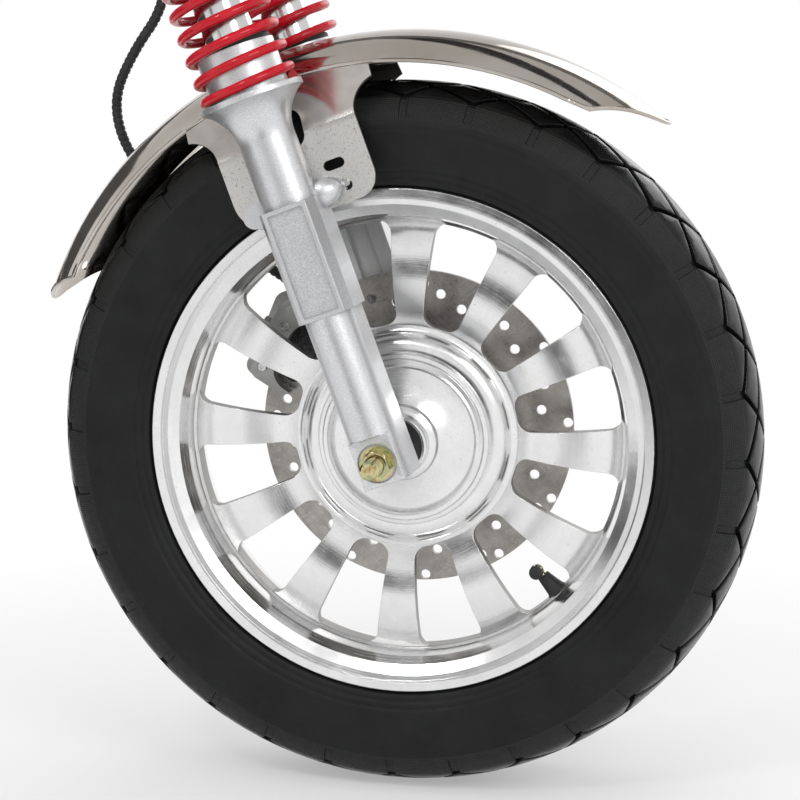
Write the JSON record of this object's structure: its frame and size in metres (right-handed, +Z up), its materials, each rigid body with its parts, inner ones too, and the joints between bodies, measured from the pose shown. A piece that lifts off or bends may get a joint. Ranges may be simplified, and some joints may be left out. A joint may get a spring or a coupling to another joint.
{
  "type": "electric tricycle front fork and wheel",
  "caption": "Front end of an electric tricycle: sprung telescopic fork in its steering head, with mudguard, disc brake and spoked cast wheel.",
  "frame": {"origin": "middle of the steering head tube, on the steering axis", "axes": "+X forwards, +Y to the rider's left along the wheel's axle, +Z up; the steering axis leans back 20.3 degrees from +Z"},
  "size_m": [0.506, 0.252, 0.8267],
  "materials": {
    "silver_paint": "satin silver paint over cast metal",
    "chrome_plate": "hard chrome",
    "stainless_sheet": "mirror-polished stainless sheet",
    "bracket_steel": "brushed sheet steel",
    "red_coat": "glossy red powder coat",
    "black_coat": "satin black powder coat",
    "bright_steel": "turned steel",
    "yellow_zinc": "yellow-passivated zinc plate",
    "polished_aluminium": "diamond-turned and polished",
    "disc_steel": "ground stainless",
    "caliper_grey": "grey anodised casting",
    "pad_lining": "friction lining on a black backing",
    "black_rubber": "moulded rubber",
    "tyre_rubber": "satin moulded rubber"
  },
  "bodies": {
    "head": {"head_tube": "black_coat", "lower_bearing_cup": "bright_steel", "upper_bearing_cup": "bright_steel"},
    "fork": {"crown": "black_coat", "steerer_tube": "bright_steel", "crown_race": "bright_steel", "upper_race": "bright_steel", "headset_locknut": "chrome_plate", "axle": "yellow_zinc", "mudguard": "stainless_sheet", "caliper_bracket": "black_coat", "brake_caliper": "caliper_grey", "brake_pads": "pad_lining", "hose_banjo": "yellow_zinc", "brake_hose": "black_rubber", "hose_clip": "black_coat", "hose_fitting": "yellow_zinc", "stanchion_left": "chrome_plate", "stanchion_cap_left": "chrome_plate", "spring_left": "red_coat", "spring_seat_left": "black_coat", "dust_seal_left": "black_rubber", "slider_left": "silver_paint", "axle_washer_left": "bright_steel", "axle_nut_left": "yellow_zinc", "hub_spacer_left": "bright_steel", "mudguard_bracket_left": "bracket_steel", "stanchion_right": "chrome_plate", "stanchion_cap_right": "chrome_plate", "spring_right": "red_coat", "spring_seat_right": "black_coat", "dust_seal_right": "black_rubber", "slider_right": "silver_paint", "axle_washer_right": "bright_steel", "axle_nut_right": "yellow_zinc", "hub_spacer_right": "bright_steel", "mudguard_bracket_right": "bracket_steel"},
    "wheel": {"wheel_rim": "polished_aluminium", "tyre": "tyre_rubber", "brake_disc": "disc_steel", "wheel_bearing_left": "black_rubber", "wheel_bearing_right": "black_rubber", "valve_stem": "black_rubber"}
  },
  "joints": [
    {"name": "steering", "type": "hinge", "parent": "head", "child": "fork", "pos_m": [0, 0, 0], "axis": [-0.3469, 0, 0.9379], "range_deg": [-45, 45]},
    {"name": "wheel_spin", "type": "hinge", "parent": "fork", "child": "wheel", "pos_m": [0.22087, 0, -0.49619], "axis": [0, 1, 0], "continuous": true}
  ]
}
